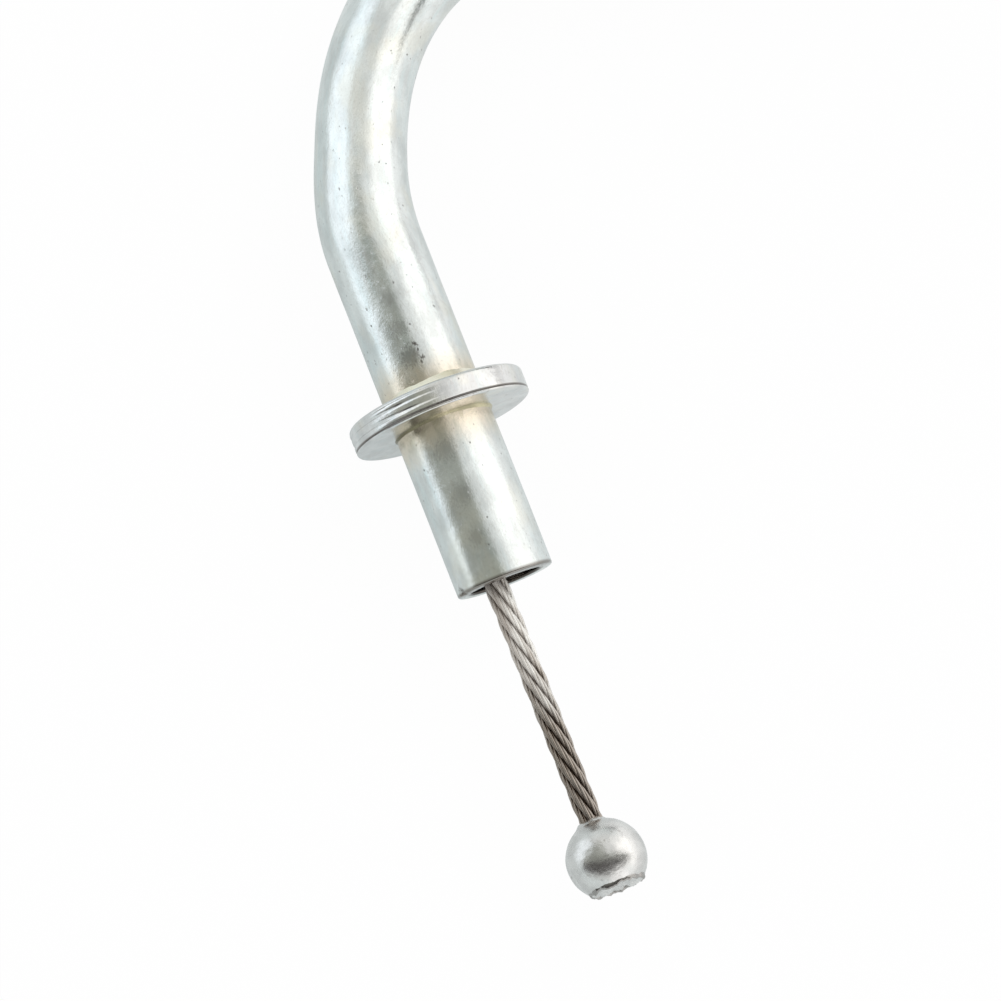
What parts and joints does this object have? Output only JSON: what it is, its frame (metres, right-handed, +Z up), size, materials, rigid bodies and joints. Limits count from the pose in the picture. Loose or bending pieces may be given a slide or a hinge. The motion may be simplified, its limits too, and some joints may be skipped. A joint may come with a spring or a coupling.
{
  "type": "throttle cable",
  "caption": "Throttle cable with a bent metal guide tube, a flange, a ball-ended wire rope, a coiled black casing and a threaded adjuster.",
  "frame": {"origin": "below the middle of the lever end, on the surface that the cable lies on", "axes": "-Y out of the elbow's nose towards the ball, +X along the casing as it leaves the elbow, +Z up"},
  "size_m": [0.1144, 0.1145, 0.0143],
  "materials": {
    "zinc_plate": "bright zinc plating on steel, slightly mottled",
    "cast_zinc": "satin die-cast zinc",
    "wire_rope": "stranded steel wire, oily grooves",
    "black_pvc": "black extruded plastic jacket",
    "black_rubber": "matt moulded rubber",
    "black_nylon": "black nylon"
  },
  "bodies": {
    "cable": {"elbow_tube": "zinc_plate", "flange_washer": "zinc_plate", "elbow_ferrule": "zinc_plate", "elbow_boot": "black_rubber", "casing_lever_run": "black_pvc", "casing_coil": "black_pvc", "casing_carb_run": "black_pvc", "coil_tie_1": "black_nylon", "coil_tie_2": "black_nylon", "coil_tie_3": "black_nylon", "casing_cap": "zinc_plate", "adjuster_screw": "zinc_plate", "dust_sleeve": "black_rubber"},
    "ball_end": {"lever_wire": "wire_rope", "ball_nipple": "cast_zinc"},
    "carb_end": {"carb_wire": "wire_rope", "carb_barrel": "cast_zinc"},
    "inner_washer": {"washer_inner": "zinc_plate"},
    "inner_nut": {"lock_nut_inner": "zinc_plate"},
    "outer_washer": {"washer_outer": "zinc_plate"},
    "outer_nut": {"lock_nut_outer": "zinc_plate"}
  },
  "joints": [
    {"name": "ball_pull", "type": "slide", "parent": "cable", "child": "ball_end", "axis": [0, -1, 0], "range_m": [-0.015, 0.009]},
    {"name": "barrel_pull", "type": "slide", "parent": "cable", "child": "carb_end", "axis": [1, 0, 0], "range_m": [-0.015, 0.009]},
    {"name": "inner_nut_travel", "type": "slide", "parent": "cable", "child": "inner_washer", "axis": [-1, 0, 0], "range_m": [-0.001, 0.001]},
    {"name": "inner_nut_turn", "type": "hinge", "parent": "inner_washer", "child": "inner_nut", "pos_m": [0.01786, 0.07706, 0.006], "axis": [-1, 0, 0], "range_deg": [-361, 361]},
    {"name": "outer_nut_travel", "type": "slide", "parent": "cable", "child": "outer_washer", "axis": [-1, 0, 0], "range_m": [-0.001, 0.001]},
    {"name": "outer_nut_turn", "type": "hinge", "parent": "outer_washer", "child": "outer_nut", "pos_m": [0.00556, 0.07706, 0.006], "axis": [-1, 0, 0], "range_deg": [-361, 361]}
  ],
  "couplings": [
    {"joint": "barrel_pull", "follows": "ball_pull", "ratio": 1},
    {"joint": "inner_nut_turn", "follows": "inner_nut_travel", "rad_per_m": 6283.2},
    {"joint": "outer_nut_turn", "follows": "outer_nut_travel", "rad_per_m": 6283.2}
  ]
}
